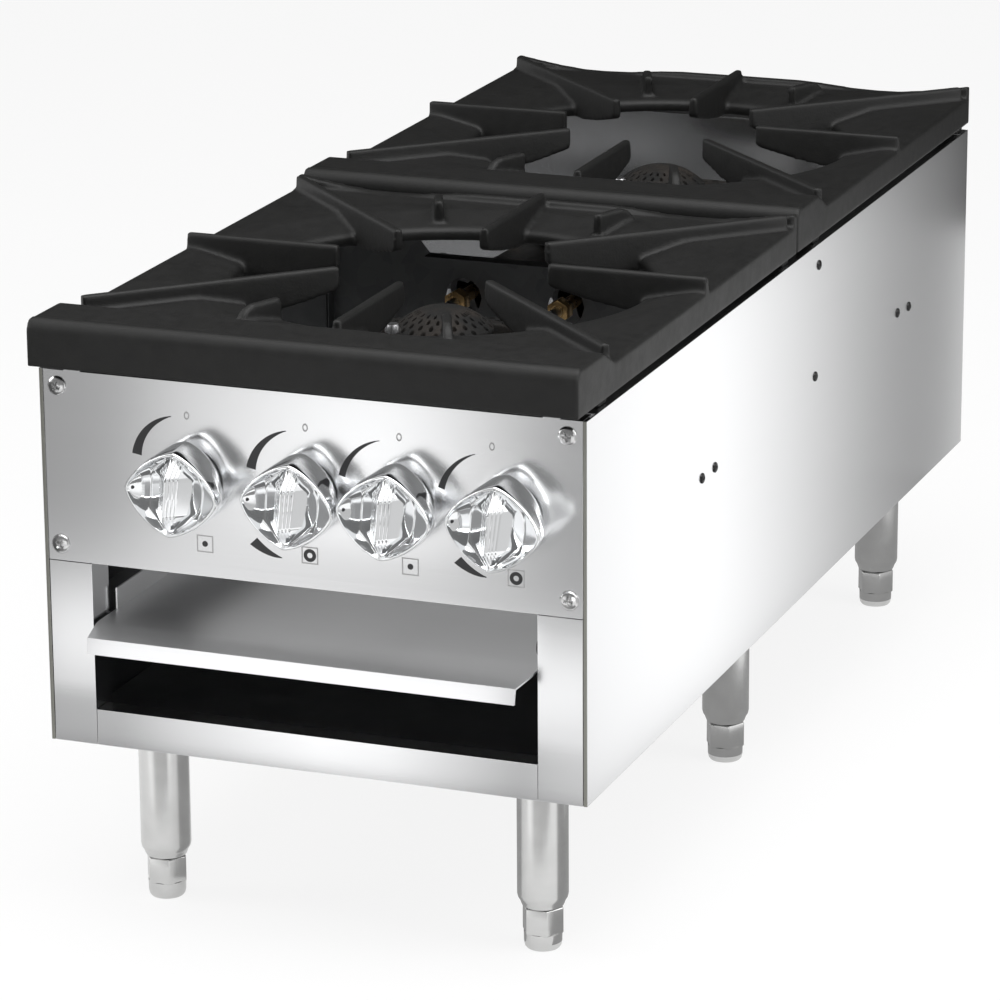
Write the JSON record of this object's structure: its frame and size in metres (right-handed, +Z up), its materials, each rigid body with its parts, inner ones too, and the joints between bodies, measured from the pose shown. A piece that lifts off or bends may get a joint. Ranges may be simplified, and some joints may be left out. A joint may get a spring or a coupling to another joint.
{
  "type": "stock pot range",
  "caption": "Low floor-standing gas range: stainless body on adjustable legs, front knobs, pull-out crumb tray, radial-finned cast-iron top grates over ring burners set one behind the other.",
  "frame": {"origin": "on the floor under the centre of the whole range's bounding box", "axes": "+X to the right of someone facing the knobs, +Y from the front to the back, +Z up"},
  "size_m": [0.457, 1.149, 0.5055],
  "materials": {
    "stainless": "brushed stainless sheet",
    "galvanised": "dull galvanised sheet",
    "grate_iron": "matte black casting",
    "burner_iron": "raw dark casting",
    "chrome": "bright chrome plate",
    "nickel": "satin nickel plate",
    "brass": "turned brass",
    "steel_pipe": "dark steel pipe",
    "aluminium": "satin"
  },
  "bodies": {
    "range_body": {"left_side_panel": "stainless", "right_side_panel": "stainless", "back_panel": "stainless", "control_panel": "stainless", "left_front_post": "stainless", "right_front_post": "stainless", "front_lower_rail": "stainless", "base_panel": "galvanised", "burner_partition": "galvanised", "left_tray_runner": "galvanised", "right_tray_runner": "galvanised", "front_burner_cradle": "galvanised", "rear_burner_cradle": "galvanised", "front_left_leg": "nickel", "front_right_leg": "nickel", "middle_left_leg": "nickel", "middle_right_leg": "nickel", "rear_left_leg": "nickel", "rear_right_leg": "nickel", "front_inner_orifice": "brass", "front_outer_orifice": "brass", "rear_inner_orifice": "brass", "rear_outer_orifice": "brass", "gas_valve_1": "aluminium", "gas_valve_2": "aluminium", "gas_valve_3": "aluminium", "gas_valve_4": "aluminium", "rear_inner_feed_tube": "aluminium", "rear_outer_feed_tube": "aluminium", "front_pilot": "aluminium", "rear_pilot": "aluminium", "gas_manifold": "steel_pipe", "gas_inlet_pipe": "steel_pipe", "front_inner_burner": "burner_iron", "front_outer_burner": "burner_iron", "rear_inner_burner": "burner_iron", "rear_outer_burner": "burner_iron"},
    "front_grate": {"front_top_grate": "grate_iron"},
    "rear_grate": {"rear_top_grate": "grate_iron"},
    "tray": {"crumb_tray": "stainless"},
    "knob_1_set": {"knob_1": "chrome", "valve_stem_1": "brass"},
    "knob_2_set": {"knob_2": "chrome", "valve_stem_2": "brass"},
    "knob_3_set": {"knob_3": "chrome", "valve_stem_3": "brass"},
    "knob_4_set": {"knob_4": "chrome", "valve_stem_4": "brass"},
    "front_left_foot_set": {"front_left_foot": "nickel"},
    "front_right_foot_set": {"front_right_foot": "nickel"},
    "middle_left_foot_set": {"middle_left_foot": "nickel"},
    "middle_right_foot_set": {"middle_right_foot": "nickel"},
    "rear_left_foot_set": {"rear_left_foot": "nickel"},
    "rear_right_foot_set": {"rear_right_foot": "nickel"},
    "front_inner_shutter": {"front_inner_air_shutter": "aluminium"},
    "front_outer_shutter": {"front_outer_air_shutter": "aluminium"},
    "rear_inner_shutter": {"rear_inner_air_shutter": "aluminium"},
    "rear_outer_shutter": {"rear_outer_air_shutter": "aluminium"}
  },
  "joints": [
    {"name": "knob_1_turn", "type": "hinge", "parent": "range_body", "child": "knob_1_set", "pos_m": [-0.1, -0.5425, 0.38], "axis": [0, -1, 0], "range_deg": [0, 135]},
    {"name": "knob_2_turn", "type": "hinge", "parent": "range_body", "child": "knob_2_set", "pos_m": [-0.003, -0.5425, 0.38], "axis": [0, -1, 0], "range_deg": [0, 135]},
    {"name": "knob_3_turn", "type": "hinge", "parent": "range_body", "child": "knob_3_set", "pos_m": [0.077, -0.5425, 0.38], "axis": [0, -1, 0], "range_deg": [0, 135]},
    {"name": "knob_4_turn", "type": "hinge", "parent": "range_body", "child": "knob_4_set", "pos_m": [0.166, -0.5425, 0.38], "axis": [0, -1, 0], "range_deg": [0, 135]},
    {"name": "front_grate_lift", "type": "slide", "parent": "range_body", "child": "front_grate", "axis": [0, 0, 1], "range_m": [0, 0.06]},
    {"name": "rear_grate_lift", "type": "slide", "parent": "range_body", "child": "rear_grate", "axis": [0, 0, 1], "range_m": [0, 0.06]},
    {"name": "tray_slide", "type": "slide", "parent": "range_body", "child": "tray", "axis": [0, -1, 0], "range_m": [0, 0.75]},
    {"name": "front_left_foot_level", "type": "slide", "parent": "range_body", "child": "front_left_foot_set", "axis": [0, 0, -1], "range_m": [0, 0.025]},
    {"name": "front_right_foot_level", "type": "slide", "parent": "range_body", "child": "front_right_foot_set", "axis": [0, 0, -1], "range_m": [0, 0.025]},
    {"name": "middle_left_foot_level", "type": "slide", "parent": "range_body", "child": "middle_left_foot_set", "axis": [0, 0, -1], "range_m": [0, 0.025]},
    {"name": "middle_right_foot_level", "type": "slide", "parent": "range_body", "child": "middle_right_foot_set", "axis": [0, 0, -1], "range_m": [0, 0.025]},
    {"name": "rear_left_foot_level", "type": "slide", "parent": "range_body", "child": "rear_left_foot_set", "axis": [0, 0, -1], "range_m": [0, 0.025]},
    {"name": "rear_right_foot_level", "type": "slide", "parent": "range_body", "child": "rear_right_foot_set", "axis": [0, 0, -1], "range_m": [0, 0.025]},
    {"name": "front_inner_shutter_turn", "type": "hinge", "parent": "range_body", "child": "front_inner_shutter", "pos_m": [-0.1, -0.4535, 0.386], "axis": [0, 1, 0], "range_deg": [0, 60]},
    {"name": "front_outer_shutter_turn", "type": "hinge", "parent": "range_body", "child": "front_outer_shutter", "pos_m": [-0.003, -0.4535, 0.386], "axis": [0, 1, 0], "range_deg": [0, 60]},
    {"name": "rear_inner_shutter_turn", "type": "hinge", "parent": "range_body", "child": "rear_inner_shutter", "pos_m": [-0.1, 0.093, 0.386], "axis": [0, 1, 0], "range_deg": [0, 60]},
    {"name": "rear_outer_shutter_turn", "type": "hinge", "parent": "range_body", "child": "rear_outer_shutter", "pos_m": [-0.003, 0.093, 0.386], "axis": [0, 1, 0], "range_deg": [0, 60]}
  ]
}
